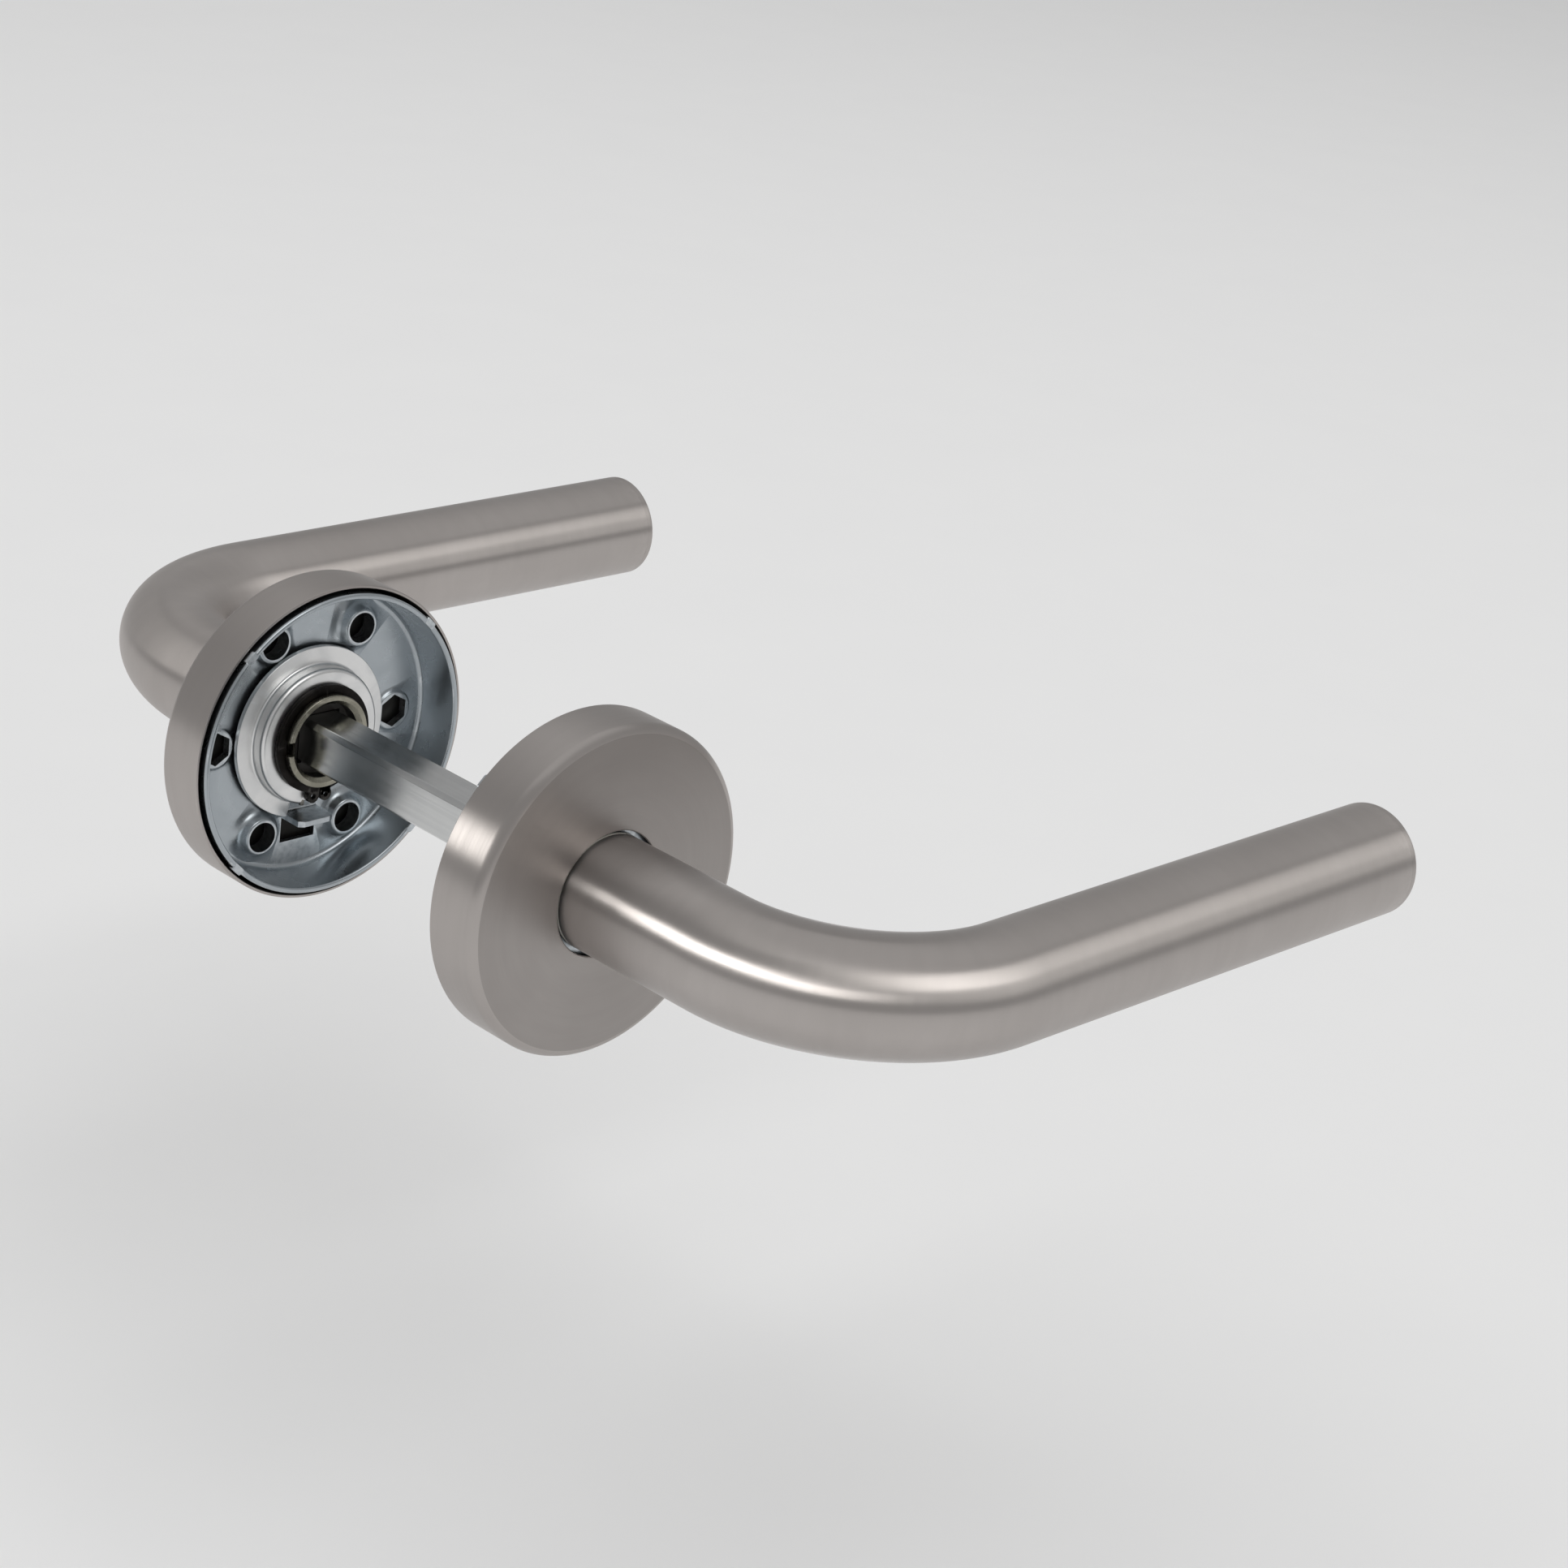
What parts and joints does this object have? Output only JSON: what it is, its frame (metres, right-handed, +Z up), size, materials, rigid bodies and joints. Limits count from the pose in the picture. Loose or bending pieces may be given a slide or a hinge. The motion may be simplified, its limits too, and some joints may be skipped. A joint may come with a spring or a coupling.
{
  "type": "door lever handle",
  "caption": "Pair of round-tube lever handles on round roses, joined by a square spindle, with sprung fixing plates behind the rose covers.",
  "frame": {"origin": "middle of the door's thickness on the spindle's axis", "axes": "+Y along the spindle towards the back handle, +X along the grips towards their tips, +Z up"},
  "size_m": [0.149, 0.2026, 0.054],
  "materials": {
    "satin_stainless": "satin brushed",
    "zinc_plate": "bright zinc plated pressing",
    "bright_zinc": "bright zinc plated",
    "nickel_plate": "nickel plated",
    "black_steel": "black phosphated",
    "spring_steel": "drawn spring wire",
    "nylon": "natural moulded"
  },
  "bodies": {
    "roses": {"front_rose_cover": "satin_stainless", "front_fixing_plate": "zinc_plate", "front_bearing_bush": "nylon", "front_return_spring": "spring_steel", "back_rose_cover": "satin_stainless", "back_fixing_plate": "zinc_plate", "back_bearing_bush": "nylon", "back_return_spring": "spring_steel"},
    "levers": {"spindle": "bright_zinc", "front_lever_tube": "satin_stainless", "front_end_cap": "satin_stainless", "front_spindle_socket": "nickel_plate", "front_grub_screw": "black_steel", "front_driver_plate": "bright_zinc", "front_thrust_washer": "zinc_plate", "front_circlip": "black_steel", "back_lever_tube": "satin_stainless", "back_end_cap": "satin_stainless", "back_spindle_socket": "nickel_plate", "back_grub_screw": "black_steel", "back_driver_plate": "bright_zinc", "back_thrust_washer": "zinc_plate", "back_circlip": "black_steel"}
  },
  "joints": [
    {"name": "lever_turn", "type": "hinge", "parent": "roses", "child": "levers", "pos_m": [0, 0, 0], "axis": [0, 1, 0], "range_deg": [0, 45], "stiffness_Nm_per_rad": 1, "springref_deg": -34.38, "deforming": ["front_return_spring", "back_return_spring"]}
  ]
}
